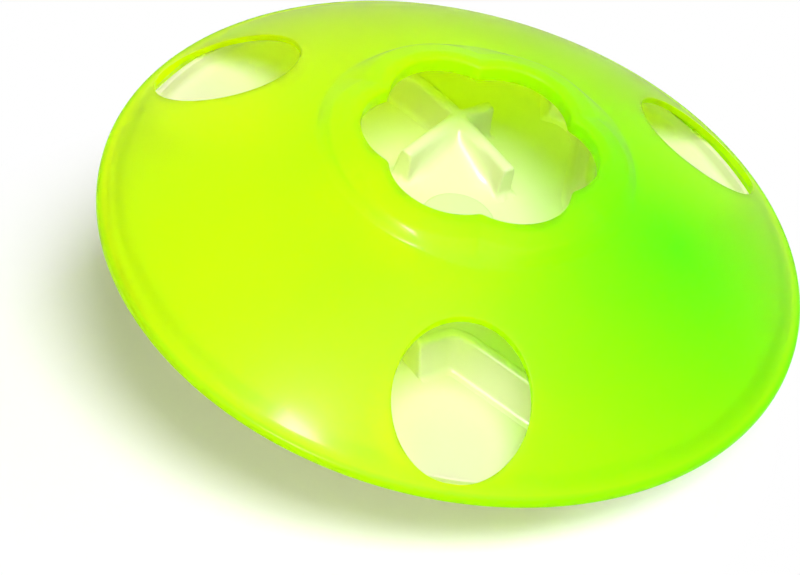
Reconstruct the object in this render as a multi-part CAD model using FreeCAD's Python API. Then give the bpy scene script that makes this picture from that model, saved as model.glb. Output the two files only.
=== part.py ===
"""Cat treat spinner: a domed cover over a cream tray, on a rounded weighted bowl that turns on its foot.

All sizes are millimetres. The origin is the middle of the foot's underside, on the floor, and +Z is up.
Angles are azimuths from +X towards +Y. One side hole faces -Y, and the pattern repeats every 120 degrees.
"""
import FreeCAD
import Part
import math
import os

V = FreeCAD.Vector
UP = V(0, 0, 1)
ORIGIN = V(0, 0, 0)

# Whole toy
RIM_RADIUS = 112.5
RIM_Z = 23.7
SIDE_AZIMUTHS = (270.0, 30.0, 150.0)
WEDGE_AZIMUTHS = (90.0, 210.0, 330.0)

# Cover
DOME_EDGE = 2.0
DOME_RISE = 43.3
DOME_POWER = 2.466
COVER_WALL = 2.0
BEAD_HEIGHT = 4.9
BEAD_CORNER = (0.55, 0.75)
BEAD_SIDE = (1.0, 2.6)
BEAD_FOOT_BULGE = 0.3
BEAD_INNER_RADIUS = 108.4
BEAD_LEDGE = 2.6
DOME_INNER_END = 109.3
SEAT_INNER = 105.0
SEAT_OUTER = 106.6
COVER_GAP = 0.3
HOLE_RADIUS = 21.3
HOLE_CENTRE = 88.0
LOBE_RADIUS = 19.6
LOBE_CENTRE = 18.0
LOBE_COUNT = 6
CUSP_ROUND = 2.6
COLLAR_TOP = 45.8
COLLAR_WIDTH = 9.6
COLLAR_SHOULDER = 43.4
COLLAR_CROWN_WIDTH = 3.6
COLLAR_FOOT_RADIUS = 50.8
COLLAR_SINK = 0.8
SHOULDER_ROUND = 1.6
CROWN_ROUND = 3.0
COLLAR_HOLLOW_RADIUS = 46.0
COLLAR_HOLLOW_TOP = 40.4
LIP_ROUND = 1.3

# Tray, where a corner's arc passes at CORNER_BULGE times its radius from each wall
CORNER_BULGE = 0.3
FLOOR_WALL = 1.9
FLOOR_ROUND = 2.6
LIP_FOOT_RADIUS = 104.3
LIP_RADIUS = 104.9
LIP_OUTER = 106.4
LIP_TOP = 4.0
FLANGE_RADIUS = 107.6
FLANGE_TOP = 2.2
BAFFLE_HEIGHT = 12.0
CREST_HALF = 2.3
CREST_ROUND = 1.8
FOOT_SINK = -0.15
STEEP_FOOT = (3.2, 2.0)
SLOPED_FOOT = (4.6, 3.0)
WEDGE_HUB_RADIUS = 49.5
WEDGE_ARM_HEADING = 35.0
WEDGE_ARM_RADIUS = 70.0
WEDGE_ARM_TURN = 42.0
SHORT_ARM_HEADING = -55.0
SHORT_ARM_LENGTH = 13.0
INNER_ARM_ANGLE = 37.0
INNER_ARM_LENGTH = 28.0
POCKET_FOOT_RADIUS = 21.5
POCKET_RAMP_TOP = 10.2
POCKET_ROUND = 4.5
POCKET_BLOCK_TAPER = 0.75
PLAIN_HUB_RADIUS = 49.0
PLAIN_ARM_HEADING = 53.0
PLAIN_ARM_LENGTH = 26.5
PLAIN_SHORT_LENGTH = 9.0
CORNER_RADIUS = 8.4
CURL_RADIUS = 15.0
CURL_TURN = 95.0

# Middle of the tray
TOWER_OUTER = 10.4
TOWER_INNER = 7.6
TOWER_HEIGHT = 9.6
CAP_RADIUS = 12.0
CAP_WALL = 1.5
CAP_ROUND = 1.1
CAP_SPIGOT_DEPTH = 6.0
CAP_SKIRT_FOOT = 0.15
CAP_TOP_WALL = 1.8
CAP_SPIGOT_GAP = 0.1

# Bowl
BOWL_SPHERE = 280.0
BOWL_BOTTOM_Z = 1.0
BOWL_WALL = 2.4
RECESS_RADIUS = 14.2
RECESS_CEILING = 6.3
BOSS_RADIUS = 8.8
BOSS_TOP = 15.5
SEAL_INNER = 101.5
SEAL_OUTER = 103.3
SEAL_DEPTH = 1.2
EDGE_ROUND = 0.6

# Screws between bowl and tray
SCREW_CIRCLE = 62.0
SCREW_SHANK = 1.5
SCREW_HEAD = 2.9
SCREW_HEAD_HEIGHT = 2.2
SCREW_LENGTH = 7.5
PILOT_GAP = 0.02
THROUGH_GAP = 0.25
PILOT_DEPTH = 6.0
POST_RADIUS = 4.4
POST_JOINT_Z = 15.5
WELL_RADIUS = 3.3
WELL_CEILING = 13.5
PLUG_TOP = 11.1
PLUG_GAP = 0.05

# Ballast
BALLAST_INNER = 22.0
BALLAST_OUTER = 42.0
BALLAST_HEIGHT = 5.0
BALLAST_CHAMFER = 0.5
CUSHION_HEIGHT = 1.6
CUSHION_Z = 7.6
RIB_WALL = 1.6
RIB_RADII = (26.0, 38.0)
LOCATING_RIB_RADIUS = 21.0
LOCATING_RIB_TOP = 12.0
CLAMP_RADIUS = 32.0
CLAMP_WALL = 1.8

# Foot and pivot
PAD_RADIUS = 11.0
PAD_HEIGHT = 1.6
PAD_ROUND = 0.3
BUTTON_RADIUS = 13.0
BUTTON_BOTTOM = 0.8
BUTTON_TOP = 4.0
BUTTON_ROUND = 0.4
PIN_RADIUS = 3.0
PIN_HEAD_RADIUS = 5.0
PIN_HEAD_HEIGHT = 1.4
PIN_TOP = 18.6
PIN_CHAMFER = 0.5
WASHER_RADIUS = 7.0
WASHER_HEIGHT = 0.8
RUNNING_FIT = 0.05
BUSH_FLANGE_RADIUS = 8.0
BUSH_FLANGE_HEIGHT = 1.2
BUSH_SLEEVE_RADIUS = 5.2
BUSH_TOP = 16.0
CLIP_Z = 16.3
CLIP_HEIGHT = 0.8
CLIP_RADIUS = 5.0
GROOVE_RADIUS = 2.3
CLIP_GAP = 2.4


def polar(radius, azimuth, z=0.0):
    """Point at a radius and an azimuth in degrees."""
    angle = math.radians(azimuth)
    return V(radius * math.cos(angle), radius * math.sin(angle), z)


def turned(shape, azimuth):
    """Copy of a shape turned about the toy's axis."""
    copy = shape.copy()
    copy.rotate(ORIGIN, UP, azimuth)
    return copy


def raised(shape, z):
    """Copy of a shape lifted by z."""
    copy = shape.copy()
    copy.translate(V(0, 0, z))
    return copy


def cylinder(radius, z0, z1, centre=ORIGIN):
    """Upright cylinder between two heights."""
    return Part.makeCylinder(radius, z1 - z0, V(centre.x, centre.y, z0), UP)


def ring(outer, inner, z0, z1):
    """Upright ring about the axis."""
    return cylinder(outer, z0, z1).cut(cylinder(inner, z0, z1))


def fuse_all(shapes):
    """One shape from several that touch or overlap."""
    first, rest = shapes[0], list(shapes[1:])
    return first.fuse(rest).removeSplitter() if rest else first


def lines(points):
    """Straight edges through (r, z) points of a profile."""
    corners = [V(r, 0, z) for r, z in points]
    return [Part.makeLine(a, b) for a, b in zip(corners, corners[1:])]


def arc(start, middle, end):
    """Arc edge through three (r, z) points of a profile."""
    return Part.Arc(*(V(r, 0, z) for r, z in (start, middle, end))).toShape()


def curve(points):
    """Smooth edge through (r, z) points of a profile."""
    spline = Part.BSplineCurve()
    spline.interpolate([V(r, 0, z) for r, z in points])
    return spline.toShape()


def revolve(edges):
    """Solid of revolution about the axis from the edges of a closed profile."""
    face = Part.Face(Part.Wire(edges))
    return face.revolve(ORIGIN, UP, 360)


def largest(shape):
    """The largest solid of a shape, without empty slivers that a cut may leave."""
    return max(shape.Solids, key=lambda solid: solid.Volume)


def export(node, shape):
    """Write one sub-part as its own file."""
    shape.exportStep("parts/%s.step" % node)
    print(node, shape.isValid(), len(shape.Solids), round(shape.Volume / 1000, 2), "cm3")


# Cover

def dome_height(radius):
    """Height of the dome's outer surface above the rim plane."""
    return DOME_EDGE + DOME_RISE * (1 - (radius / RIM_RADIUS) ** DOME_POWER)


def dome_slope(radius):
    """Fall of the dome per millimetre of radius."""
    return DOME_RISE * DOME_POWER / RIM_RADIUS * (radius / RIM_RADIUS) ** (DOME_POWER - 1)


def dome_points(first, last, depth, count=12):
    """Points of the dome's section, set in from its outer surface by a depth."""
    points = []
    for index in range(count):
        radius = first + (last - first) * index / (count - 1)
        tilt = math.atan(dome_slope(radius))
        points.append((radius - depth * math.sin(tilt), dome_height(radius) - depth * math.cos(tilt)))
    return points


def bead_start_radius():
    """Radius where the dome meets the rim bead, found by halving."""
    low, high = 0.9 * RIM_RADIUS, RIM_RADIUS
    while high - low > 0.001:
        middle = (low + high) / 2
        low, high = (middle, high) if dome_height(middle) > BEAD_HEIGHT else (low, middle)
    return low


def cover_shell():
    """Dome and rim bead, with the seat that rests on the tray's lip."""
    outer = dome_points(LOBE_CENTRE, bead_start_radius(), 0.0)
    inner = dome_points(LOBE_CENTRE, DOME_INNER_END, COVER_WALL)
    side = RIM_RADIUS
    low, high = BEAD_SIDE
    corner_in, corner_down = BEAD_CORNER
    edges = [curve(outer)]
    edges.append(arc(outer[-1], (side - corner_in, BEAD_HEIGHT - corner_down), (side, high)))
    edges += lines([(side, high), (side, low)])
    edges.append(arc((side, low), (side - BEAD_FOOT_BULGE, BEAD_FOOT_BULGE), (side - low, 0.0)))
    edges += lines([(side - low, 0.0), (BEAD_INNER_RADIUS, 0.0), (BEAD_INNER_RADIUS, BEAD_LEDGE), inner[-1]])
    edges.append(curve(inner[::-1]))
    edges += lines([inner[0], outer[0]])
    seat = ring(SEAT_OUTER, SEAT_INNER, LIP_TOP + COVER_GAP, dome_height(SEAT_OUTER) - COVER_WALL / 2)
    return revolve(edges).fuse(seat)


def lobe_cusp(offset):
    """Distance from the axis to a cusp between two lobes that are widened by an offset."""
    half = math.radians(180.0 / LOBE_COUNT)
    reach = LOBE_CENTRE * math.cos(half)
    return reach + math.sqrt(reach ** 2 - LOBE_CENTRE ** 2 + (LOBE_RADIUS + offset) ** 2)


def lobed_wire(offset, z):
    """Outline of six round lobes that meet in cusps, in the directions of the holes."""
    step = 360.0 / LOBE_COUNT
    cusp = lobe_cusp(offset)
    top = LOBE_CENTRE + LOBE_RADIUS + offset
    arcs = []
    for index in range(LOBE_COUNT):
        middle = step * index
        arcs.append(Part.Arc(polar(cusp, middle - step / 2, z), polar(top, middle, z),
                             polar(cusp, middle + step / 2, z)).toShape())
    return Part.Wire(arcs)


def circle_wire(radius, z):
    """Circle cut into as many arcs as there are lobes."""
    step = 360.0 / LOBE_COUNT
    arcs = []
    for index in range(LOBE_COUNT):
        stops = (step * (index + share) for share in (-0.5, 0.0, 0.5))
        arcs.append(Part.Arc(*(polar(radius, stop, z) for stop in stops)).toShape())
    return Part.Wire(arcs)


def edges_at(shape, z, least=0.0, most=1e9):
    """Edges that lie flat at a height, between two distances from the axis."""
    found = []
    for edge in shape.Edges:
        middle = edge.valueAt((edge.FirstParameter + edge.LastParameter) / 2)
        flat = abs(edge.BoundBox.ZMin - z) < 0.01 and abs(edge.BoundBox.ZMax - z) < 0.01
        if flat and least < math.hypot(middle.x, middle.y) < most:
            found.append(edge)
    return found


def upright_edges(shape, least, most):
    """Straight upright edges between two distances from the axis."""
    found = []
    for edge in shape.Edges:
        box = edge.BoundBox
        upright = box.XLength < 0.01 and box.YLength < 0.01
        if upright and least < math.hypot(box.Center.x, box.Center.y) < most:
            found.append(edge)
    return found


def collar():
    """Raised collar, round at its foot and lobed at its top."""
    foot = circle_wire(COLLAR_FOOT_RADIUS, dome_height(COLLAR_FOOT_RADIUS) - COLLAR_SINK)
    shoulder = lobed_wire(COLLAR_WIDTH, COLLAR_SHOULDER)
    crown = lobed_wire(COLLAR_CROWN_WIDTH, COLLAR_TOP)
    body = Part.makeLoft([foot, shoulder, crown], True, True)
    body = body.makeFillet(CROWN_ROUND, edges_at(body, COLLAR_TOP))
    return body.makeFillet(SHOULDER_ROUND, edges_at(body, COLLAR_SHOULDER))


def opening_cutter():
    """Six-lobed cutter of the centre opening, its cusps rounded."""
    depth = 2 * (COLLAR_TOP - COLLAR_HOLLOW_TOP)
    body = Part.Face(lobed_wire(0.0, COLLAR_TOP - depth)).extrude(V(0, 0, 2 * depth))
    return body.makeFillet(CUSP_ROUND, upright_edges(body, LOBE_CENTRE, LOBE_CENTRE + LOBE_RADIUS))


def top_cover():
    """Translucent cover with its collar, centre opening and three side holes."""
    dome_floor = dome_height(COLLAR_FOOT_RADIUS) - 2 * COVER_WALL
    body = cover_shell().fuse(collar())
    body = body.cut(cylinder(COLLAR_HOLLOW_RADIUS, dome_floor, COLLAR_HOLLOW_TOP))
    body = body.cut(opening_cutter())
    body = body.makeFillet(LIP_ROUND, edges_at(body, COLLAR_TOP, 0.0, LOBE_CENTRE + LOBE_RADIUS + 1.0))
    for azimuth in SIDE_AZIMUTHS:
        body = body.cut(cylinder(HOLE_RADIUS, 0, COLLAR_TOP, polar(HOLE_CENTRE, azimuth)))
    return raised(largest(body), RIM_Z)


# Tray

def baffle_section(foot):
    """Section of a baffle wall that runs along +Y, with a rounded crest and a flared foot."""
    foot_half, foot_round = foot
    side = foot_half + foot_round
    shoulder = CORNER_BULGE * CREST_ROUND
    flare = CORNER_BULGE * foot_round
    crest = BAFFLE_HEIGHT
    base = -FLOOR_WALL / 2
    edges = lines([(-side, base), (side, base), (side, FOOT_SINK)])
    edges.append(arc((side, FOOT_SINK), (foot_half + flare, flare), (foot_half, foot_round)))
    edges += lines([(foot_half, foot_round), (CREST_HALF, crest - CREST_ROUND)])
    edges.append(arc((CREST_HALF, crest - CREST_ROUND), (CREST_HALF - shoulder, crest - shoulder),
                     (CREST_HALF - CREST_ROUND, crest)))
    edges += lines([(CREST_HALF - CREST_ROUND, crest), (CREST_ROUND - CREST_HALF, crest)])
    edges.append(arc((CREST_ROUND - CREST_HALF, crest), (shoulder - CREST_HALF, crest - shoulder),
                     (-CREST_HALF, crest - CREST_ROUND)))
    edges += lines([(-CREST_HALF, crest - CREST_ROUND), (-foot_half, foot_round)])
    edges.append(arc((-foot_half, foot_round), (-foot_half - flare, flare), (-side, FOOT_SINK)))
    edges += lines([(-side, FOOT_SINK), (-side, base)])
    return Part.Face(Part.Wire(edges))


def baffle_run(start, heading, runs, foot):
    """Baffle wall along straight and curved runs.

    A run is (length, 0) for a straight, or (radius, turn) for a bend, where a positive turn is to the left.
    """
    point, pieces = start, []
    for size, turn in runs:
        section = baffle_section(foot)
        section.rotate(ORIGIN, UP, heading - 90)
        section.translate(point)
        if turn == 0:
            step = polar(size, heading)
            pieces.append(section.extrude(step))
            point = point.add(step)
        else:
            centre = point.add(polar(size, heading + math.copysign(90, turn)))
            pieces.append(section.revolve(centre, UP, turn))
            spoke = point.sub(centre)
            point = centre.add(FreeCAD.Rotation(UP, turn).multVec(spoke))
            heading += turn
    return pieces


def pocket_block():
    """Solid between the inner arms, before the pocket is cut."""
    base = -FLOOR_WALL / 2
    far = WEDGE_HUB_RADIUS
    near = far - INNER_ARM_LENGTH * math.cos(math.radians(INNER_ARM_ANGLE))
    half = INNER_ARM_LENGTH * math.sin(math.radians(INNER_ARM_ANGLE)) - CREST_HALF
    foot = POCKET_FOOT_RADIUS
    foot_half = POCKET_BLOCK_TAPER * half
    plan = [V(far, 0, base), V(near, half, base), V(foot, foot_half, base), V(foot, -foot_half, base),
            V(near, -half, base), V(far, 0, base)]
    return Part.Face(Part.makePolygon(plan)).extrude(V(0, 0, BAFFLE_HEIGHT - CREST_ROUND - base))


def pocket_cutter():
    """Pocket between the inner arms, with a floor that climbs to the hub and rounded corners."""
    angle = math.radians(INNER_ARM_ANGLE)
    far = WEDGE_HUB_RADIUS - CREST_HALF / math.sin(angle)
    foot = POCKET_FOOT_RADIUS
    half = (far - foot) * math.tan(angle)
    roof = 2 * BAFFLE_HEIGHT
    side_view = [(foot, 0), (far, POCKET_RAMP_TOP), (far, roof), (foot, roof), (foot, 0)]
    slab = Part.Face(Part.Wire(lines(side_view))).extrude(V(0, 2 * half, 0))
    slab.translate(V(0, -half, 0))
    plan = [V(far, 0, 0), V(foot, half, 0), V(foot, -half, 0), V(far, 0, 0)]
    cutter = slab.common(Part.Face(Part.makePolygon(plan)).extrude(V(0, 0, roof)))
    return cutter.makeFillet(POCKET_ROUND, pocket_seams(cutter))


def pocket_seams(cutter):
    """Edges of the cutter where its sloping floor meets its sides."""
    seams = []
    for edge in cutter.Edges:
        box = edge.BoundBox
        sloping = 0.01 < box.ZLength < BAFFLE_HEIGHT and box.XLength > 1
        if sloping and box.YLength > 1:
            seams.append(edge)
    return seams


def wedge_baffle(azimuth):
    """Long arm, short arm and two inner arms round a pocket, as at the far side of the opening."""
    hub = V(WEDGE_HUB_RADIUS, 0, 0)
    pieces = baffle_run(hub, WEDGE_ARM_HEADING, [(WEDGE_ARM_RADIUS, WEDGE_ARM_TURN)], STEEP_FOOT)
    pieces += baffle_run(hub, SHORT_ARM_HEADING, [(SHORT_ARM_LENGTH, 0)], STEEP_FOOT)
    for side in (-1, 1):
        heading = side * (180 - INNER_ARM_ANGLE)
        pieces += baffle_run(hub, heading, [(INNER_ARM_LENGTH, 0)], STEEP_FOOT)
    body = fuse_all(pieces + [pocket_block()])
    return turned(body.cut(pocket_cutter()), azimuth)


def plain_baffle(azimuth):
    """Short arm, rounded corner and long arm with a curled end, as seen inside a side hole."""
    turn = (PLAIN_ARM_HEADING - SHORT_ARM_HEADING) - 180
    tangent = CORNER_RADIUS * math.tan(math.radians(abs(turn) / 2))
    start = V(PLAIN_HUB_RADIUS, 0, 0).add(polar(tangent + PLAIN_SHORT_LENGTH, SHORT_ARM_HEADING))
    runs = [(PLAIN_SHORT_LENGTH, 0), (CORNER_RADIUS, turn), (PLAIN_ARM_LENGTH, 0), (CURL_RADIUS, CURL_TURN)]
    return turned(fuse_all(baffle_run(start, PLAIN_ARM_HEADING - turn, runs, SLOPED_FOOT)), azimuth)


def tray_dish():
    """Flat floor, upright lip and flange of the tray, with the tower in the middle."""
    bend = CORNER_BULGE * FLOOR_ROUND
    foot = LIP_FOOT_RADIUS
    edges = lines([(TOWER_INNER, -FLOOR_WALL), (FLANGE_RADIUS, -FLOOR_WALL), (FLANGE_RADIUS, FLANGE_TOP)])
    edges += lines([(FLANGE_RADIUS, FLANGE_TOP), (LIP_OUTER, FLANGE_TOP), (LIP_OUTER, LIP_TOP)])
    edges += lines([(LIP_OUTER, LIP_TOP), (LIP_RADIUS, LIP_TOP), (foot, FLOOR_ROUND)])
    edges.append(arc((foot, FLOOR_ROUND), (foot - bend, bend), (foot - FLOOR_ROUND, 0)))
    edges += lines([(foot - FLOOR_ROUND, 0), (TOWER_OUTER, 0), (TOWER_OUTER, TOWER_HEIGHT),
                    (TOWER_INNER, TOWER_HEIGHT), (TOWER_INNER, -FLOOR_WALL)])
    return revolve(edges)


def screw_centres():
    """Centres of the three screws, between the side holes."""
    return [polar(SCREW_CIRCLE, azimuth) for azimuth in WEDGE_AZIMUTHS]


def treat_tray():
    """Tray with its baffles above, and the screw posts and clamp rib below."""
    tray = tray_dish()
    for azimuth in WEDGE_AZIMUTHS:
        tray = tray.fuse(wedge_baffle(azimuth))
    for azimuth in SIDE_AZIMUTHS:
        tray = tray.fuse(plain_baffle(azimuth))
    underside = -FLOOR_WALL / 2
    ballast_top = CUSHION_Z + CUSHION_HEIGHT + BALLAST_HEIGHT
    clamp_inner = CLAMP_RADIUS - CLAMP_WALL / 2
    below = [ring(clamp_inner + CLAMP_WALL, clamp_inner, ballast_top - RIM_Z, underside)]
    for centre in screw_centres():
        below.append(cylinder(POST_RADIUS, POST_JOINT_Z - RIM_Z, underside, centre))
    tray = tray.fuse(below)
    for centre in screw_centres():
        joint = POST_JOINT_Z - RIM_Z
        tray = tray.cut(cylinder(SCREW_SHANK + PILOT_GAP, joint - 1, joint + PILOT_DEPTH, centre))
    return raised(largest(tray.removeSplitter()), RIM_Z)


def hub_cap():
    """Round cap that snaps on the tower and closes the way to the pivot."""
    outer, top = CAP_RADIUS, BAFFLE_HEIGHT
    inner = CAP_RADIUS - CAP_WALL
    under = top - CAP_TOP_WALL
    spigot_outer = TOWER_INNER - CAP_SPIGOT_GAP
    spigot_inner = spigot_outer - CAP_WALL
    corner = CORNER_BULGE * CAP_ROUND
    edges = lines([(0, top), (0, under), (spigot_inner, under), (spigot_inner, under - CAP_SPIGOT_DEPTH),
                   (spigot_outer, under - CAP_SPIGOT_DEPTH), (spigot_outer, under), (inner, under),
                   (inner, CAP_SKIRT_FOOT), (outer, CAP_SKIRT_FOOT), (outer, top - CAP_ROUND)])
    edges.append(arc((outer, top - CAP_ROUND), (outer - corner, top - corner), (outer - CAP_ROUND, top)))
    edges += lines([(outer - CAP_ROUND, top), (0, top)])
    return raised(revolve(edges), RIM_Z)


# Bowl

def sphere_height(radius, inset=0.0):
    """Height of the bowl's underside sphere, or of a surface set into it, above the floor."""
    return BOWL_BOTTOM_Z + BOWL_SPHERE - math.sqrt((BOWL_SPHERE - inset) ** 2 - radius ** 2)


def sphere_radius(height, inset=0.0):
    """Distance from the axis where the sphere, or a surface set into it, has a height."""
    return math.sqrt((BOWL_SPHERE - inset) ** 2 - (BOWL_BOTTOM_Z + BOWL_SPHERE - height) ** 2)


def sphere_arc(first, last, inset=0.0):
    """Arc of the bowl's section between two distances from the axis."""
    stops = (first, (first + last) / 2, last)
    return arc(*((radius, sphere_height(radius, inset)) for radius in stops))


def bowl_shell():
    """Rounded shell with the foot's recess, the pivot boss and the seal groove."""
    top = RIM_Z - FLOOR_WALL
    edge_outer = sphere_radius(top - EDGE_ROUND)
    edge_inner = sphere_radius(top, BOWL_WALL)
    recess_inner = RECESS_RADIUS + BOWL_WALL
    roof = RECESS_CEILING + BOWL_WALL
    groove = top - SEAL_DEPTH
    edges = lines([(BUSH_SLEEVE_RADIUS, RECESS_CEILING), (RECESS_RADIUS, RECESS_CEILING),
                   (RECESS_RADIUS, sphere_height(RECESS_RADIUS))])
    edges.append(sphere_arc(RECESS_RADIUS, edge_outer))
    edges += lines([(edge_outer, top - EDGE_ROUND), (edge_outer, top), (SEAL_OUTER, top)])
    edges += lines([(SEAL_OUTER, top), (SEAL_OUTER, groove), (SEAL_INNER, groove), (SEAL_INNER, top)])
    edges += lines([(SEAL_INNER, top), (edge_inner, top)])
    edges.append(sphere_arc(edge_inner, recess_inner, BOWL_WALL))
    edges += lines([(recess_inner, sphere_height(recess_inner, BOWL_WALL)), (recess_inner, roof),
                    (BOSS_RADIUS, roof), (BOSS_RADIUS, BOSS_TOP), (BUSH_SLEEVE_RADIUS, BOSS_TOP),
                    (BUSH_SLEEVE_RADIUS, RECESS_CEILING)])
    return revolve(edges)


def bowl_rib(radius, top):
    """Round rib that stands on the inside of the bowl."""
    half = RIB_WALL / 2
    foot = sphere_height(radius - half, BOWL_WALL) - BOWL_WALL / 2
    return ring(radius + half, radius - half, foot, top)


def base_bowl():
    """Weighted lower shell with ribs for the ballast and posts for the screws."""
    added = [bowl_rib(radius, CUSHION_Z) for radius in RIB_RADII]
    added.append(bowl_rib(LOCATING_RIB_RADIUS, LOCATING_RIB_TOP))
    foot = sphere_height(SCREW_CIRCLE - POST_RADIUS) + BOWL_WALL / 2
    for centre in screw_centres():
        added.append(cylinder(POST_RADIUS, foot, POST_JOINT_Z, centre))
    bowl = bowl_shell().fuse(added)
    for centre in screw_centres():
        bowl = bowl.cut(cylinder(WELL_RADIUS, 0, WELL_CEILING, centre))
        bowl = bowl.cut(cylinder(SCREW_SHANK + THROUGH_GAP, 0, POST_JOINT_Z + 1, centre))
    return largest(bowl.removeSplitter())


def shell_seal():
    """Ring that fills the groove under the tray's flange."""
    top = RIM_Z - FLOOR_WALL
    return ring(SEAL_OUTER, SEAL_INNER, top - SEAL_DEPTH, top)


def shell_screws():
    """Three equal screws from the bowl's wells into the tray's posts."""
    screws = []
    underside = WELL_CEILING - SCREW_HEAD_HEIGHT
    for centre in screw_centres():
        head = cylinder(SCREW_HEAD, underside, WELL_CEILING, centre)
        shank = cylinder(SCREW_SHANK, WELL_CEILING, WELL_CEILING + SCREW_LENGTH, centre)
        socket = cylinder(SCREW_HEAD / 2, underside, underside + SCREW_HEAD_HEIGHT / 2, centre)
        screws.append(head.fuse(shank).cut(socket))
    return Part.makeCompound(screws)


def screw_plug(azimuth):
    """Soft plug that fills a screw's well, flush with the bowl."""
    centre = polar(SCREW_CIRCLE, azimuth)
    ball = Part.makeSphere(BOWL_SPHERE, V(0, 0, BOWL_BOTTOM_Z + BOWL_SPHERE))
    return cylinder(WELL_RADIUS - PLUG_GAP, 0, PLUG_TOP, centre).common(ball)


def ballast_cushion():
    """Foam ring under the ballast."""
    return ring(BALLAST_OUTER, BALLAST_INNER, CUSHION_Z, CUSHION_Z + CUSHION_HEIGHT)


def ballast_ring():
    """Steel ring that keeps the toy's weight low."""
    z0 = CUSHION_Z + CUSHION_HEIGHT
    body = ring(BALLAST_OUTER, BALLAST_INNER, z0, z0 + BALLAST_HEIGHT)
    return body.makeChamfer(BALLAST_CHAMFER, body.Edges)


# Foot and pivot

def foot_pad():
    """Soft disc that the toy stands on."""
    pad = cylinder(PAD_RADIUS, 0, PAD_HEIGHT)
    return pad.makeFillet(PAD_ROUND, edges_at(pad, 0.0))


def foot_button():
    """Hard disc that holds the pad and the head of the pin."""
    button = cylinder(BUTTON_RADIUS, BUTTON_BOTTOM, BUTTON_TOP)
    rims = edges_at(button, BUTTON_BOTTOM) + edges_at(button, BUTTON_TOP)
    button = button.makeFillet(BUTTON_ROUND, rims)
    button = button.cut(cylinder(PAD_RADIUS, 0, PAD_HEIGHT))
    button = button.cut(cylinder(PIN_HEAD_RADIUS, 0, PAD_HEIGHT + PIN_HEAD_HEIGHT))
    return button.cut(cylinder(PIN_RADIUS, 0, BUTTON_TOP + 1))


def pivot_pin():
    """Headed axle with a groove for its clip."""
    neck = PAD_HEIGHT + PIN_HEAD_HEIGHT
    groove_top = CLIP_Z + CLIP_HEIGHT
    tip, shoulder = PIN_RADIUS - PIN_CHAMFER, PIN_TOP - PIN_CHAMFER
    return revolve(lines([(0, PAD_HEIGHT), (PIN_HEAD_RADIUS, PAD_HEIGHT), (PIN_HEAD_RADIUS, neck),
                          (PIN_RADIUS, neck), (PIN_RADIUS, CLIP_Z), (GROOVE_RADIUS, CLIP_Z),
                          (GROOVE_RADIUS, groove_top), (PIN_RADIUS, groove_top),
                          (PIN_RADIUS, shoulder), (tip, PIN_TOP), (0, PIN_TOP), (0, PAD_HEIGHT)]))


def thrust_washer():
    """Slippery washer on top of the foot button."""
    return ring(WASHER_RADIUS, PIN_RADIUS + RUNNING_FIT, BUTTON_TOP, BUTTON_TOP + WASHER_HEIGHT)


def pivot_bush():
    """Flanged bearing in the bowl's boss."""
    bore = PIN_RADIUS + RUNNING_FIT
    flange = ring(BUSH_FLANGE_RADIUS, bore, RECESS_CEILING - BUSH_FLANGE_HEIGHT, RECESS_CEILING)
    return flange.fuse(ring(BUSH_SLEEVE_RADIUS, bore, RECESS_CEILING, BUSH_TOP)).removeSplitter()


def pivot_clip():
    """Open ring in the groove of the pin."""
    clip = ring(CLIP_RADIUS, GROOVE_RADIUS, CLIP_Z, CLIP_Z + CLIP_HEIGHT)
    mouth = Part.makeBox(CLIP_RADIUS + 1, CLIP_GAP, CLIP_HEIGHT, V(0, -CLIP_GAP / 2, CLIP_Z))
    return clip.cut(mouth)


def main():
    """Build and write every sub-part."""
    os.makedirs("parts", exist_ok=True)
    parts = {
        "top_cover": top_cover(),
        "treat_tray": treat_tray(),
        "hub_cap": hub_cap(),
        "base_bowl": base_bowl(),
        "shell_seal": shell_seal(),
        "shell_screws": shell_screws(),
        "ballast_cushion": ballast_cushion(),
        "ballast_ring": ballast_ring(),
        "pivot_bush": pivot_bush(),
        "thrust_washer": thrust_washer(),
        "pivot_pin": pivot_pin(),
        "pivot_clip": pivot_clip(),
        "foot_button": foot_button(),
        "foot_pad": foot_pad(),
    }
    for side, azimuth in zip(("back", "left", "right"), WEDGE_AZIMUTHS):
        parts["screw_plug_" + side] = screw_plug(azimuth)
    for node, shape in parts.items():
        export(node, shape)


main()
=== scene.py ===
"""Looks of the cat treat spinner: a translucent lime cover over a cream tray, on a rounded weighted bowl.

Sizes are millimetres, and heights are above the floor under the foot, unless a class says otherwise. Angles
are azimuths in degrees, from +X towards +Y. Finishes are sized in metres, apart from fields that end in mm.
"""
import logging
import math
from dataclasses import dataclass, field
from enum import Enum
from typing import Callable, Optional, Sequence

import bmesh
import bpy
from mathutils import Matrix, Vector, noise


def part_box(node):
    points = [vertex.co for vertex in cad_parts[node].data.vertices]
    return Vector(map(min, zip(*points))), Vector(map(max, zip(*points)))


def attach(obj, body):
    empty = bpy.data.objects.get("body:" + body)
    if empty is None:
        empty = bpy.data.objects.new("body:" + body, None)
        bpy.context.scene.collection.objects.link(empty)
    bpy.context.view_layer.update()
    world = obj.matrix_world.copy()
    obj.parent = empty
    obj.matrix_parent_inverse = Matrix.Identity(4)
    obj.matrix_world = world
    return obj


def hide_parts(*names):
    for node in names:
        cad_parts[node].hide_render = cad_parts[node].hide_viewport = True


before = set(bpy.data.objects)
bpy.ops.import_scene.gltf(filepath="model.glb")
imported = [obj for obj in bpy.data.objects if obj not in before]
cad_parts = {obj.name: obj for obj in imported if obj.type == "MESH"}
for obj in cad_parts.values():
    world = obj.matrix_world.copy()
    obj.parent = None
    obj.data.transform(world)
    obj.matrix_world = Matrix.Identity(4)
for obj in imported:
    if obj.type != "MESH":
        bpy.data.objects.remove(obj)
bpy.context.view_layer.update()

MM = 0.001
NEAR = 0.01
LOG = logging.getLogger("treat_spinner")
UP = Vector((0.0, 0.0, 1.0))
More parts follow.
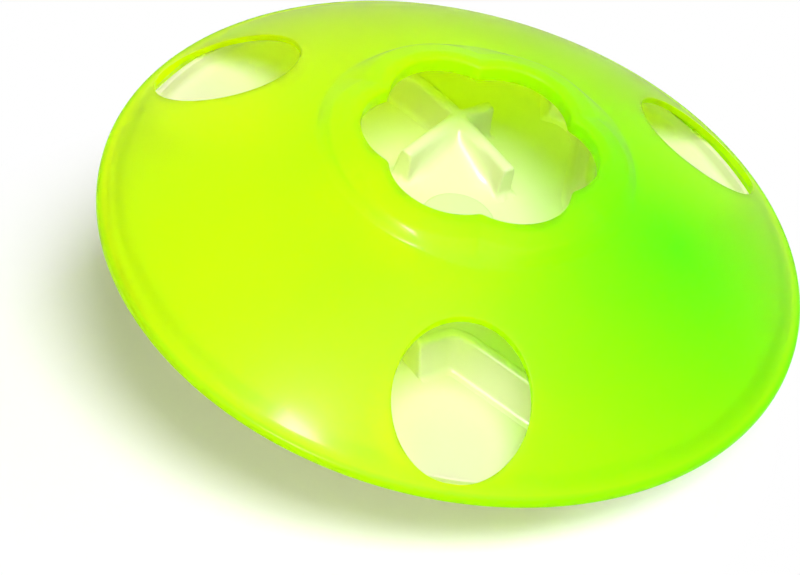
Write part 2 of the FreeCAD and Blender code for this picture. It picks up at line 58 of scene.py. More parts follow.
SEEING_RAYS = ("Camera", "Glossy", "Transmission")
Point = tuple[float, float]
Colour = tuple[float, float, float]
Triple = tuple[float, float, float]
Vert, Edge, Face = bmesh.types.BMVert, bmesh.types.BMEdge, bmesh.types.BMFace
Material = bpy.types.Material


def turned(azimuth: float) -> Matrix:
    """Turn about the upright axis, by degrees."""
    return Matrix.Rotation(math.radians(azimuth), 3, "Z")


def toward(azimuth: float, length: float = 1.0) -> Vector:
    """Level step in a direction."""
    angle = math.radians(azimuth)
    return Vector((math.cos(angle), math.sin(angle), 0.0)) * length


def shown(name: str, data: bpy.types.ID) -> bpy.types.Object:
    """Put data in the scene as an object.

    Args:
        name: Name of the object.
        data: Its mesh, light or camera.

    Returns:
        The object.
    """
    holder = bpy.data.objects.new(name, data)
    bpy.context.scene.collection.objects.link(holder)
    return holder


class Body(Enum):
    """Moving groups of the toy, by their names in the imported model."""

    FOOT = "foot"
    BASE = "base"
    COVER = "cover"


# Shader tools


class Signal:
    """A shader value that adds Math nodes when it meets an arithmetic operator."""

    def __init__(self, recipe: "Recipe", socket: bpy.types.NodeSocket) -> None:
        """Wrap one output socket of a recipe's node tree."""
        self.recipe = recipe
        self.socket = socket

    def _math(self, operation: str, *values: object) -> "Signal":
        """Add one Math node.

        Args:
            operation: Name of the Math node's operation.
            values: Numbers or signals for its inputs, in order; this value alone if there are none.

        Returns:
            The node's result.
        """
        inputs = dict(enumerate(values or (self,)))
        node = self.recipe.node("ShaderNodeMath", {"operation": operation}, inputs)
        return Signal(self.recipe, node.outputs[0])

    def __add__(self, other: object) -> "Signal":
        """Sum."""
        return self._math("ADD", self, other)

    __radd__ = __add__

    def __mul__(self, other: object) -> "Signal":
        """Product."""
        return self._math("MULTIPLY", self, other)

    __rmul__ = __mul__

    def __sub__(self, other: object) -> "Signal":
        """Difference."""
        return self._math("SUBTRACT", self, other)

    def __rsub__(self, other: object) -> "Signal":
        """Difference with this value taken away."""
        return self._math("SUBTRACT", other, self)

    def __truediv__(self, other: object) -> "Signal":
        """Quotient."""
        return self._math("DIVIDE", self, other)

    def __pow__(self, other: object) -> "Signal":
        """Power."""
        return self._math("POWER", self, other)

    def clipped(self) -> "Signal":
        """This value held between 0 and 1."""
        node = self.recipe.node("ShaderNodeClamp", {}, {"Value": self})
        return Signal(self.recipe, node.outputs[0])

    def above(self, edge: float, width: float) -> "Signal":
        """Soft step that climbs from 0 to 1 over a width that starts at an edge."""
        return ((self - edge) / width).clipped()

    def waves(self, cycles: float) -> "Signal":
        """Even waves from 0 to 1, with that many to each unit of this value."""
        return (self * (math.tau * cycles))._math("SINE") * 0.5 + 0.5


class Recipe:
    """Node tree of one finish or of the surround."""

    streak_turn: float = 0.6

    def __init__(self, name: str, library: str = "materials") -> None:
        """Start an empty material, or a world where that is the library.

        Args:
            name: Name of the material or world.
            library: The collection in Blender's data that it joins.
        """
        self.owner = getattr(bpy.data, library).new(name)
        self.owner.use_nodes = True
        self.tree = self.owner.node_tree
        self.tree.nodes.clear()
        self._place: Optional[bpy.types.NodeSocket] = None

    def node(self, kind: str, settings: dict, sockets: dict) -> bpy.types.Node:
        """Add one node.

        Args:
            kind: Blender's type name of the node.
            settings: Attributes of the node, set first.
            sockets: Input names or indices with a number, colour, signal or socket each.

        Returns:
            The node.
        """
        node = self.tree.nodes.new(kind)
        for name, value in settings.items():
            setattr(node, name, value)
        for name, value in sockets.items():
            socket = value.socket if isinstance(value, Signal) else value
            if isinstance(socket, bpy.types.NodeSocket):
                self.tree.links.new(socket, node.inputs[name])
            elif isinstance(socket, tuple) and len(socket) == 3 and node.inputs[name].type == "RGBA":
                node.inputs[name].default_value = (*socket, 1.0)
            else:
                node.inputs[name].default_value = socket
        return node

    def place(self) -> bpy.types.NodeSocket:
        """Object coordinates in metres."""
        self._place = self._place or self.node("ShaderNodeTexCoord", {}, {}).outputs["Object"]
        return self._place

    def axis(self, name: str) -> Signal:
        """One coordinate of the place: X, Y or Z, in metres."""
        node = self.node("ShaderNodeSeparateXYZ", {}, {0: self.place()})
        return Signal(self, node.outputs[name])

    def away(self, centre: Point = (0.0, 0.0)) -> Signal:
        """Distance in metres from an upright line, which is the toy's axis unless a centre is given."""
        across, along = self.axis("X") - centre[0], self.axis("Y") - centre[1]
        return (across * across + along * along) ** 0.5

    def noise(self, cycles: float, detail: float = 3.0, roughness: float = 0.5,
              stretch: Optional[Triple] = None) -> Signal:
        """Noise from 0 to 1.

        Args:
            cycles: Pattern size, in cycles per metre.
            detail: Octaves.
            roughness: Strength of the finer octaves.
            stretch: Scale of the place along X, Y and Z, for streaks.

        Returns:
            The noise value.
        """
        place = self.place()
        if stretch:
            sockets = {"Vector": place, "Rotation": (0.0, 0.0, self.streak_turn), "Scale": stretch}
            place = self.node("ShaderNodeMapping", {}, sockets).outputs[0]
        sockets = {"Vector": place, "Scale": cycles, "Detail": detail, "Roughness": roughness}
        return Signal(self, self.node("ShaderNodeTexNoise", {}, sockets).outputs[0])

    def cells(self, cycles: float) -> Signal:
        """Distance to the nearest of many scattered points, in cycles."""
        sockets = {"Vector": self.place(), "Scale": cycles}
        return Signal(self, self.node("ShaderNodeTexVoronoi", {}, sockets).outputs["Distance"])

    def blend(self, share: object, first: object, second: object) -> bpy.types.NodeSocket:
        """Colour between two colours, by a share of the second."""
        node = self.node("ShaderNodeMix", {"data_type": "RGBA"}, {0: share, 6: first, 7: second})
        return node.outputs[2]

    def bump(self, height: Signal, depth_mm: float) -> bpy.types.NodeSocket:
        """Normal of a surface raised by a height from 0 to 1 times a depth in millimetres."""
        sockets = {"Height": height, "Distance": depth_mm * MM, "Strength": 1.0}
        return self.node("ShaderNodeBump", {}, sockets).outputs[0]

    def principled(self, sockets: dict) -> Material:
        """Finish with one Principled shader and return the material."""
        return self.finish(self.node("ShaderNodeBsdfPrincipled", {}, sockets).outputs[0])

    def seen(self) -> Signal:
        """1 for a ray by which the camera, gloss or clear plastic sees something, else 0."""
        camera, *others = (self.ray(kind) for kind in SEEING_RAYS)
        return sum(others, camera).clipped()

    def ray(self, kind: str) -> Signal:
        """1 for a ray of one kind, else 0."""
        return Signal(self, self.node("ShaderNodeLightPath", {}, {}).outputs[f"Is {kind} Ray"])

    def finish(self, surface: bpy.types.NodeSocket) -> Material:
        """Join a shader to the material's output and return the material."""
        self.node("ShaderNodeOutputMaterial", {}, {"Surface": surface})
        return self.owner


class Finish:
    """A finish that a piece can wear."""

    name: str

    def recipe(self) -> Material:
        """Make the material's nodes."""
        raise NotImplementedError

    def material(self) -> Material:
        """The material, made once."""
        return bpy.data.materials.get(self.name) or self.recipe()


@dataclass(frozen=True)
class LimePlastic(Finish):
    """Glossy, milky lime plastic that lets light and soft shapes through, with painted shade that greens it
    towards +X and at the rim bead.
    """

    name: str = "lime_plastic"
    lime: Colour = (0.74, 1.0, 0.0)
    # Deeper green that the random colour drift and the painted shade both blend towards.
    drift_and_painted_shade_lime: Colour = (0.20, 0.93, 0.0)
    # Centre and reach of the painted shade that makes the cover greener towards +X.
    painted_shade_centre: Point = (0.065, -0.020)
    painted_shade_reach: float = 0.170
    # Start and width of the painted shade on the rim bead, and its strength.
    painted_rim_shade_band: Point = (0.1106, 0.0012)
    painted_rim_shade_share: float = 0.37
    drift_share: float = 0.22
    transmission: float = 0.60
    roughness: float = 0.37
    scatter_mm: float = 4.0
    gloss: float = 0.04

    def recipe(self) -> Material:
        """Milky tint with slow colour drift, painted shade towards +X and at the rim bead, moulding flow and
        fine scuffs under a clear gloss.

        Returns:
            The material.
        """
        make = Recipe(self.name)
        drift = make.noise(9.0, 2.0)
        # Painted shade: the cover turns greener towards +X, as if shaded by what lies under it.
        side = 1.0 - make.away(self.painted_shade_centre).above(0.0, self.painted_shade_reach)
        # Painted shade on the rim bead, which is blended towards the deeper green.
        rim = make.away().above(*self.painted_rim_shade_band)
        drifted = drift * self.drift_share - self.drift_share / 2
        share = (side * side + drifted + rim * self.painted_rim_shade_share).clipped()
        scuffs = make.noise(900.0, 4.0, 0.7).above(0.62, 0.12)
        dust = make.noise(60.0, 5.0, 0.6).above(0.55, 0.2)
        rough = dust * 0.05 + scuffs * 0.06 + self.roughness
        flow = make.noise(35.0, 2.0)
        return make.principled({
            "Base Color": make.blend(share, self.lime, self.drift_and_painted_shade_lime),
            "Roughness": rough,
            "IOR": 1.15,
            "Transmission Weight": self.transmission,
            "Subsurface Weight": 1.0,
            "Subsurface Radius": (1.0, 1.0, 0.2),
            "Subsurface Scale": self.scatter_mm * MM,
            "Specular IOR Level": 0.1,
            "Coat Weight": self.gloss,
            "Coat Roughness": 0.15,
            "Coat IOR": 1.5,
            "Normal": make.bump(flow, 0.10),
        })


@dataclass(frozen=True)
class MouldedPlastic(Finish):
    """Opaque moulded plastic with a satin skin."""

    name: str
    colour: Colour
    shade: Colour
    roughness: float = 0.38
    grain_mm: float = 0.03
    scuffs: float = 0.15
    scuff_tint: float = 0.7

    def recipe(self) -> Material:
        """Satin skin with colour drift, fine grain, handling marks and thin scuffs.

        Returns:
            The material.
        """
        make = Recipe(self.name)
        drift = make.noise(22.0, 3.0)
        specks = make.noise(420.0, 3.0, 0.6).above(0.60, 0.15)
        grain = make.noise(2600.0, 2.0)
        marks = make.noise(90.0, 5.0, 0.65).above(0.56, 0.14)
        along = make.noise(160.0, 4.0, 0.7, (1.0, 14.0, 6.0)).above(0.60, 0.06)
        across = make.noise(160.0, 4.0, 0.7, (14.0, 1.0, 6.0)).above(0.61, 0.06)
        scuffs = (along + across).clipped() * marks * self.scuffs
        colour = make.blend((drift * 0.7 + specks * 0.12).clipped(), self.colour, self.shade)
        rubbed = tuple(self.scuff_tint * part for part in self.colour)
        return make.principled({
            "Base Color": make.blend(scuffs, colour, rubbed),
            "Roughness": marks * 0.08 + scuffs * 0.3 + self.roughness,
            "IOR": 1.46,
            "Normal": make.bump(grain * 0.6 + drift * 0.3 - scuffs * 0.4, self.grain_mm),
        })


@dataclass(frozen=True)
class Rubber(Finish):
    """Matt moulded rubber."""

    name: str
    colour: Colour
    worn: Colour

    def recipe(self) -> Material:
        """Matt skin that is paler where it is rubbed.

        Returns:
            The material.
        """
        make = Recipe(self.name)
        rubbed = make.noise(160.0, 5.0, 0.65).above(0.48, 0.2)
        grain = make.noise(3000.0, 2.0)
        return make.principled({
            "Base Color": make.blend(rubbed, self.colour, self.worn),
            "Roughness": rubbed * 0.12 + 0.62,
            "Normal": make.bump(grain, 0.04),
        })


@dataclass(frozen=True)
class TurnedSteel(Finish):
    """Plated or plain steel with turning lines round the axis."""

    name: str
    colour: Colour = (0.62, 0.62, 0.60)
    dull: Colour = (0.45, 0.44, 0.42)
    roughness: float = 0.28
    lines_per_metre: float = 1400.0

    def recipe(self) -> Material:
        """Metal with fine rings and dull patches.

        Returns:
            The material.
        """
        make = Recipe(self.name)
        away = make.away()
        rings = away.waves(self.lines_per_metre) * 0.5 + away.waves(0.43 * self.lines_per_metre) * 0.3
        rings += away.waves(0.19 * self.lines_per_metre) * make.noise(120.0, 3.0) * 0.4
        dull = make.noise(70.0, 5.0, 0.6).above(0.45, 0.2)
        share = (dull * 0.6 + rings * 0.5).clipped()
        return make.principled({
            "Base Color": make.blend(share, self.colour, self.dull),
            "Metallic": 1.0,
            "Roughness": dull * 0.15 + rings * 0.12 + self.roughness,
            "Normal": make.bump(rings, 0.03),
        })


@dataclass(frozen=True)
class Foam(Finish):
    """Open-celled foam."""

    name: str = "grey_foam"
    colour: Colour = (0.20, 0.20, 0.21)
    # Colour of the painted shade in the foam's pores.
    cell: Colour = (0.07, 0.07, 0.075)

    def recipe(self) -> Material:
        """Painted shade in small cells of a matt body, which the bump also dents.

        Returns:
            The material.
        """
        make = Recipe(self.name)
        pores = make.cells(1400.0)
        # Pore mask: painted shade in the pores, and their dent in the bump.
        pore_dent_and_shade = 1.0 - pores.above(0.25, 0.35)
        return make.principled({
            "Base Color": make.blend(pore_dent_and_shade, self.colour, self.cell),
            "Roughness": 0.95,
            "Normal": make.bump(1.0 - pore_dent_and_shade, 0.25),
        })


# Mesh tools


class Section(Enum):
    """Ways to join the points of a section."""

    OPEN = "a chain"
    CLOSED = "a loop"
    FILLED = "a face"


class Mesh:
    """A bmesh in millimetres that ends as one piece of the toy."""

    def __init__(self) -> None:
        """Start empty."""
        self.bm = bmesh.new()

    def sweep(self, geom: list, steps: int, turn: float, centre: Sequence[float] = (0, 0, 0)) -> list:
        """Spin geometry about an upright line.

        Args:
            geom: The profile's vertices, edges or face.
            steps: Number of steps over the turn.
            turn: Angle of the turn; the ends of a full one are merged.
            centre: A point on the line.

        Returns:
            The last copy of the geometry.
        """
        spun = bmesh.ops.spin(self.bm, geom=geom, cent=centre, axis=UP, dvec=(0, 0, 0), steps=steps,
                              angle=math.radians(turn), use_merge=turn == 360.0, use_duplicate=False)
        return spun["geom_last"]

    def spin(self, points: Sequence[Point], steps: int, section: Section = Section.CLOSED,
             start: float = 0.0, turn: float = 360.0) -> None:
        """Turn a section about the toy's axis.

        Args:
            points: Distances from the axis with their heights.
            steps: Number of steps over the turn.
            section: How the points are joined.
            start: Azimuth where the turn begins.
            turn: Angle of the turn.
        """
        verts = [self.bm.verts.new((r, 0.0, z)) for r, z in points]
        self.turn(start, verts)
        if section is Section.FILLED:
            self.sweep([self.bm.faces.new(verts)], steps, turn)
            return
        ends = verts[1:] + (verts[:1] if section is Section.CLOSED else [])
        edges = [self.bm.edges.new(pair) for pair in zip(verts, ends)]
        self.sweep(edges + verts, steps, turn)

    def repeat(self, count: int) -> None:
        """Copy what is there evenly round the axis.

        Args:
            count: How many there are in all.
        """
        source = self.bm.verts[:] + self.bm.edges[:] + self.bm.faces[:]
        for index in range(1, count):
            copy = bmesh.ops.duplicate(self.bm, geom=source)["geom"]
            self.turn(360.0 * index / count, [g for g in copy if isinstance(g, Vert)])

    def round_edges(self, edges: list[Edge], radius: float) -> None:
        """Round edges by a radius."""
        bmesh.ops.bevel(self.bm, geom=edges, offset=radius, offset_type="OFFSET", affect="EDGES",
                        segments=3, profile=0.5, material=-1, clamp_overlap=True)

    def weld(self) -> None:
        """Merge doubled vertices and point all faces outwards."""
        bmesh.ops.remove_doubles(self.bm, verts=self.bm.verts, dist=0.001)
        bmesh.ops.recalc_face_normals(self.bm, faces=self.bm.faces)

    def move(self, vector: Triple) -> None:
        """Shift everything."""
        bmesh.ops.translate(self.bm, verts=self.bm.verts, vec=vector)

    def turn(self, azimuth: float, verts: Optional[list[Vert]] = None) -> None:
        """Turn some vertices, or else everything, about the toy's axis."""
        verts = self.bm.verts if verts is None else verts
        bmesh.ops.rotate(self.bm, verts=verts, cent=(0, 0, 0), matrix=turned(azimuth))

    def grow(self, face: Face, step: Vector) -> Face:
        """Extrude one face and move its copy.

        Args:
            face: The face at the end of a run.
            step: Where the copy goes from there.

        Returns:
            The copy.
        """
        grown = bmesh.ops.extrude_face_region(self.bm, geom=[face])["geom"]
        verts = [g for g in grown if isinstance(g, Vert)]
        bmesh.ops.translate(self.bm, verts=verts, vec=step)
        return next(g for g in grown if isinstance(g, Face))

    def melt(self, cell: float, passes: int) -> None:
        """Join overlapping closed shapes in one skin and round its edges.

        Args:
            cell: Size of the skin's faces.
            passes: How many times the skin is smoothed.
        """
        bmesh.ops.recalc_face_normals(self.bm, faces=self.bm.faces)
        data = bpy.data.meshes.new("melt")
        self.bm.to_mesh(data)
        holder = shown("melt", data)
        skin = holder.modifiers.new("skin", "REMESH")
        skin.mode, skin.voxel_size = "VOXEL", cell
        depsgraph = bpy.context.evaluated_depsgraph_get()
        joined = bpy.data.meshes.new_from_object(holder.evaluated_get(depsgraph))
        self.bm.clear()
        self.bm.from_mesh(joined)
        bpy.data.objects.remove(holder)
        bpy.data.meshes.remove(data)
        bpy.data.meshes.remove(joined)
        for _ in range(passes):
            bmesh.ops.smooth_vert(self.bm, verts=self.bm.verts, factor=0.5, use_axis_x=True,
                                  use_axis_y=True, use_axis_z=True)

    def piece(self, name: str, body: Body, finish: Finish, slot: str, sharp: float = 40.0,
              stands_for: Sequence[str] = ()) -> bpy.types.Object:
        """Make the finished piece.

        Args:
            name: Name of the piece.
            body: Body that it rides on.
            finish: What it wears.
            slot: The record's material slot of its finish; not used.
            sharp: Angle in degrees past which an edge stays crisp.
            stands_for: CAD nodes that the piece replaces.

        Returns:
            The piece's object.
        """
        self.bm.transform(Matrix.Scale(MM, 4))
        data = bpy.data.meshes.new(name)
        self.bm.to_mesh(data)
        self.bm.free()
        data.shade_smooth()
        data.set_sharp_from_angle(angle=math.radians(sharp))
        data.materials.append(finish.material())
        piece = shown(name, data)
        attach(piece, body.value)
        if stands_for:
            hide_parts(*stands_for)
        LOG.info("%s: %d faces on %s", name, len(data.polygons), body.value)
        return piece


def bend(centre: Point, radius: float, first: float, last: float, count: int) -> list[Point]:
    """Points along an arc of a section.

    Args:
        centre: Centre of the arc.
        radius: Its radius.
        first: Angle of the first point, in degrees.
        last: Angle of the last point.
        count: Number of points, both ends included.

    Returns:
        The points in order.
    """
    angles = (math.radians(first + (last - first) * k / (count - 1)) for k in range(count))
    return [(centre[0] + radius * math.cos(a), centre[1] + radius * math.sin(a)) for a in angles]


def even(first: float, last: float, count: int) -> list[float]:
    """Evenly spaced numbers, both ends included."""
    return [first + (last - first) * k / (count - 1) for k in range(count)]


def smooth_step(value: float, first: float, last: float) -> float:
    """Climb from 0 at the first value to 1 at the last, level at both ends."""
    share = min(1.0, max(0.0, (value - first) / (last - first)))
    return share * share * (3 - 2 * share)


# Cover


@dataclass
class Dome:
    """Shape of the cover's outer surface, with heights above the rim's underside."""

    rim_radius: float = 112.5
    edge: float = 2.0
    rise: float = 43.3
    power: float = 2.466
    wall: float = 2.0

    def outside(self, radius: float) -> float:
        """Height of the outer surface."""
        return self.edge + self.rise * (1 - (radius / self.rim_radius) ** self.power)

    def slope(self, radius: float) -> float:
        """Fall per millimetre of radius."""
        return self.rise * self.power / self.rim_radius * (radius / self.rim_radius) ** (self.power - 1)

    def inside(self, radius: float) -> float:
        """Height of the inner surface."""
        return self.outside(radius) - self.wall * math.hypot(1.0, self.slope(radius))


@dataclass
class Lobes:
    """Six round lobes that meet in rounded cusps."""

    radius: float = 19.6
    centre: float = 18.0
    count: int = 6
    cusp_round: float = 2.6

    @property
    def reach(self) -> float:
        """Distance from the axis to the far side of a lobe."""
        return self.centre + self.radius

    def outline(self, azimuth: float, offset: float) -> float:
        """Distance from the axis to the outline, widened by an offset.

        Args:
            azimuth: Direction in degrees; lobes point to 0, 60 and so on.
            offset: How far the lobes are widened.

        Returns:
            The distance.
        """
        step = 360.0 / self.count
        along = abs((azimuth + step / 2) % step - step / 2)
        size, half = self.radius + offset, math.radians(step / 2)
        theta = math.radians(along)
        lobe = self.centre * math.cos(theta) + math.sqrt(size ** 2 - (self.centre * math.sin(theta)) ** 2)
        across = self.centre * math.sin(half)
        far = self.centre * math.cos(half) + math.sqrt((size + self.cusp_round) ** 2 - across ** 2)
        share = size / (size + self.cusp_round)
        touch = math.atan2(across * (1 - share), self.centre * math.cos(half) * (1 - share) + far * share)
        off = half - theta
        if off >= touch:
            return lobe
        return far * math.cos(off) - math.sqrt(self.cusp_round ** 2 - (far * math.sin(off)) ** 2)


@dataclass
class Cover:
    """Lime cover with a raised collar round the lobed opening, three side holes and a rim bead.

    Heights are above the rim's underside, and rim_height is that underside's own. The lines are points of the
    collar's section: steps outwards and up from the crown and from the foot, and for the shoulder steps outwards
    with heights.
    """

    rim_height: float = 23.7
    dome: Dome = field(default_factory=Dome)
    lobes: Lobes = field(default_factory=Lobes)
    steps: int = 600
    collar_top: float = 45.8
    mouth_rises: Point = (0.4, 2.2)
    lip_round: float = 1.3
    crown_offset: float = 3.6
    crown_line: Sequence[Point] = (
        (-1.3, 0.0), (-0.65, -0.01), (0.0, -0.11), (0.7, -0.33), (2.2, -0.92), (3.8, -1.56))
    shoulder_offset: float = 9.6
    shoulder_line: Sequence[Point] = (
        (-1.2, 43.86), (-0.5, 43.55), (0.0, 43.22), (0.5, 42.75), (1.3, 41.9), (2.3, 40.75))
    collar_foot: float = 50.8
    foot_line: Sequence[Point] = ((-0.55, 0.45), (0.0, 0.06))
    hollow_top: float = 40.4
    hollow_radius: float = 46.0
    hollow_ledge: float = 4.0
    bead_start: float = 110.4
    bead_round: float = 1.6
    bead_centre: float = 2.0
    under_round: float = 1.0
    inner_end: float = 107.9
    bead_inner: float = 108.4
    bead_ledge: float = 2.6
    bead_chamfer: float = 0.3
    patch_inner: float = 63.6
    patch_steps: int = 28
    skin_gap: float = 0.3
    hole_radius: float = 21.3
    hole_centre: float = 88.0
    hole_azimuth: float = 270.0
    hole_count: int = 3
    hole_shares: Triple = (0.45, 0.6, 1.0)
    hole_round: float = 0.45
    bead_clearance: float = 0.12
    seat: Point = (105.0, 106.6)
    seat_height: float = 4.3
    seat_sunk: float = 0.6
    seat_half_gap: float = 11.0
    seat_steps: int = 110

    def _collar_section(self) -> list[Point]:
        """Section of the collar along a lobe's axis, from its underside to its foot on the dome.

        Returns:
            Its points.
        """
        mouth, lip, top = self.lobes.reach, self.lip_round, self.collar_top
        crown, shoulder = mouth + self.crown_offset, mouth + self.shoulder_offset
        foot = self.dome.outside(self.collar_foot)
        points = [(mouth, self.hollow_top + rise) for rise in (0.0, *self.mouth_rises)]
        points += bend((mouth + lip, top - lip), lip, 180, 90, 7)
        points += [(crown + out, top + rise) for out, rise in self.crown_line]
        points += [(shoulder + out, height) for out, height in self.shoulder_line]
        return points + [(self.collar_foot + out, foot + rise) for out, rise in self.foot_line]

    def _section(self) -> list[Point]:
        """Closed section of the cover without its holes; the last point joins the first.

        Returns:
            Its points.
        """
        side, under, inner = self.dome.rim_radius, self.under_round, self.bead_inner
        points = self._collar_section()
        points += [(r, self.dome.outside(r)) for r in even(self.collar_foot + 1.0, self.patch_inner, 8)]
        points += [(r, self.dome.outside(r)) for r in even(self.patch_inner, self.bead_start, 30)[1:]]
        points += bend((side - self.bead_round, self.bead_centre), self.bead_round, 62, 0, 6)
        points += bend((side - under, under), under, 0, -90, 5)
        points += [(inner + self.bead_chamfer, 0.0), (inner, self.bead_chamfer), (inner, self.bead_ledge)]
        points += [(r, self.dome.inside(r)) for r in even(self.inner_end, self.patch_inner, 24)]
        points += [(r, self.dome.inside(r)) for r in even(self.patch_inner, self.hollow_radius, 7)[1:]]
        hollow = (self.hollow_radius, self.hollow_radius - self.hollow_ledge)
        return points + [(r, self.hollow_top) for r in hollow]

    def _lobe(self, vert: Vert) -> None:
        """Draw a vertex of the turned collar in to the lobed outline.

        Args:
            vert: Any vertex of the cover; those outside the collar stay.
        """
        x, y, z = vert.co
        radius = math.hypot(x, y)
        mouth, shoulder = self.lobes.reach, self.lobes.reach + self.shoulder_offset
        if radius > self.collar_foot - NEAR or z < self.hollow_top - NEAR:
            return
        if z < self.hollow_top + NEAR:
            share = (self.hollow_radius - radius) / (self.hollow_radius - mouth)
        else:
            share = min(1.0, (self.collar_foot - radius) / (self.collar_foot - shoulder))
        share = max(0.0, share)
        lobed = self.lobes.outline(math.degrees(math.atan2(y, x)), radius - mouth)
        scale = (share * lobed + (1 - share) * radius) / radius
        vert.co.x, vert.co.y = x * scale, y * scale

    def _open_hole(self, mesh: Mesh, azimuth: float) -> None:
        """Cut one side hole through both skins and join them with a rounded wall.

        Args:
            mesh: The turned cover.
            azimuth: Direction of the hole.
        """
        middle = toward(azimuth, self.hole_centre)
        half = self.patch_steps * 360.0 / self.steps + NEAR
        loops = []
        for skin, last in ((self.dome.outside, self.bead_start), (self.dome.inside, self.inner_end)):
            doomed = [f for f in mesh.bm.faces if self._in_patch(f, azimuth, half, last, skin)]
            edges = {e for f in doomed for e in f.edges}
            bmesh.ops.delete(mesh.bm, geom=doomed, context="FACES_ONLY")
            rim = [e for e in edges if e.is_boundary]
            bmesh.ops.delete(mesh.bm, geom=[e for e in edges if e.is_wire], context="EDGES")
            loops.append(self._close_in(mesh, rim, middle, skin, last))
        wall = bmesh.ops.bridge_loops(mesh.bm, edges=loops[0] + loops[1])
        bmesh.ops.recalc_face_normals(mesh.bm, faces=wall["faces"])
        mesh.round_edges(loops[0], self.hole_round)

    def _in_patch(self, face: Face, azimuth: float, half: float, last: float,
                  skin: Callable[[float], float]) -> bool:
        """Tell if a face lies on a skin, in the patch round a hole.

        Args:
            face: The face.
            azimuth: Direction of the hole.
            half: Half of the patch's width, in degrees.
            last: Distance from the axis where the patch ends.
            skin: Height of the skin by radius.

        Returns:
            Whether it does.
        """
        place = face.calc_center_median()
        radius = math.hypot(place.x, place.y)
        if not self.patch_inner < radius < last or abs(place.z - skin(radius)) > self.skin_gap:
            return False
        turn = (math.degrees(math.atan2(place.y, place.x)) - azimuth + 180) % 360 - 180
        return abs(turn) < half

    def _close_in(self, mesh: Mesh, rim: list[Edge], middle: Vector,
                  skin: Callable[[float], float], last: float) -> list[Edge]:
        """Grow the skin from a patch's edge in to the round hole.

        Args:
            mesh: The cover.
            rim: Edges of the patch.
            middle: Centre of the hole.
            skin: Height of the skin by radius.
            last: Largest distance from the axis that the skin has.

        Returns:
            The edges of the hole.
        """
        limit = last - self.bead_clearance
        for share in self.hole_shares:
            grown = bmesh.ops.extrude_edge_only(mesh.bm, edges=rim)["geom"]
            rim = [g for g in grown if isinstance(g, Edge)]
            for vert in {v for e in rim for v in e.verts}:
                flat = Vector((vert.co.x, vert.co.y, 0.0))
                spoke = (flat - middle).normalized() * self.hole_radius
                place = flat.lerp(middle + spoke, share)
                if place.length > limit:
                    place *= limit / place.length
                vert.co = (place.x, place.y, skin(place.length))
        return rim

    def _shell(self) -> None:
        """Make the dome with its collar, holes and rim bead."""
        mesh = Mesh()
        share = 360.0 / self.hole_count
        start = self.hole_azimuth - share / 2
        mesh.spin(self._section(), self.steps // self.hole_count, start=start, turn=share)
        mesh.weld()
        for vert in mesh.bm.verts:
            self._lobe(vert)
        self._open_hole(mesh, self.hole_azimuth)
        mesh.repeat(self.hole_count)
        bmesh.ops.remove_doubles(mesh.bm, verts=mesh.bm.verts, dist=0.002)
        mesh.move(UP * self.rim_height)
        mesh.piece("cover_shell", Body.COVER, LimePlastic(), "cover_lime", 35.0, ["top_cover"])

    def _seat(self) -> None:
        """Make the ring under the cover that rests on the tray's lip, broken at the side holes."""
        mesh = Mesh()
        inner, outer = self.seat
        section = [(inner, self.seat_height), (outer, self.seat_height)]
        section += [(r, self.dome.inside(r) + self.seat_sunk) for r in (outer, inner)]
        span = 360.0 / self.hole_count - 2 * self.seat_half_gap
        mesh.spin(section, self.seat_steps, Section.FILLED, self.hole_azimuth + self.seat_half_gap, span)
        mesh.repeat(self.hole_count)
        mesh.weld()
        mesh.move(UP * self.rim_height)
        mesh.piece("cover_seat", Body.COVER, LimePlastic(), "cover_lime", 35.0)

    def build(self) -> None:
        """Make the cover and the ring that it rests on."""
        self._shell()
        self._seat()


# Tray


@dataclass(frozen=True)
class Baffle:
    """Section of a baffle wall on the tray, with heights above the tray's floor."""

    foot_half: float
    foot_round: float
    height: float = 12.0
    crest_half: float = 2.3
    crest_round: float = 1.8
    sunk: float = -0.95
    bend_step: float = 4.0
    overlap: float = 0.02

    def section(self) -> list[Point]:
        """Closed outline, by distance to the side and height.

        Returns:
            Its corners.
        """
        side = self.foot_half + self.foot_round
        crest = (self.crest_half - self.crest_round, self.height - self.crest_round)
        right = [(side, self.sunk)] + bend((side, self.foot_round), self.foot_round, 270, 180, 7)
        right += bend(crest, self.crest_round, 0, 90, 6)
        return right + [(-x, z) for x, z in reversed(right)]

    def wall(self, mesh: Mesh, start: Vector, heading: float, runs: Sequence[tuple[float, float]]) -> None:
        """Add a wall along straight and curved runs.

        Args:
            mesh: Where the wall goes.
            start: Middle of the wall's first end.
            heading: Direction of the first run.
            runs: Pairs of a length and 0 for a straight, or of a radius and a turn to the left for a bend.
        """
        place = Matrix.Translation(start) @ turned(heading - 90).to_4x4()
        corners = [mesh.bm.verts.new(place @ Vector((x, 0.0, z))) for x, z in self.section()]
        face, point = mesh.bm.faces.new(corners), start
        for size, turn in runs:
            if turn == 0:
                step = toward(heading, size)
                face, point = mesh.grow(face, step), point + step
                continue
            centre = point + toward(heading + math.copysign(90, turn), size)
            last = mesh.sweep([face], max(4, round(abs(turn) / self.bend_step)), turn, centre)
            face = next(g for g in last if isinstance(g, Face))
            point = centre + turned(turn) @ (point - centre)
            heading += turn
        mesh.bm.normal_update()
        self._run_out(mesh, face, toward(heading))

    def _run_out(self, mesh: Mesh, face: Face, away: Vector) -> None:
        """Let the foot of a wall's end run out into the floor, as at its sides.

        Args:
            mesh: The wall's mesh.
            face: The end of the wall.
            away: Direction in which the wall ends.
        """
        last = 0.0
        for angle in (0, 30, 60, 90):
            out = self.foot_round * (1 - math.cos(math.radians(angle)))
            top = self.foot_round * (1 - math.sin(math.radians(angle)))
            face = mesh.grow(face, away * (out - last + self.overlap))
            last = out
            for vert in face.verts:
                vert.co.z = min(vert.co.z, top)


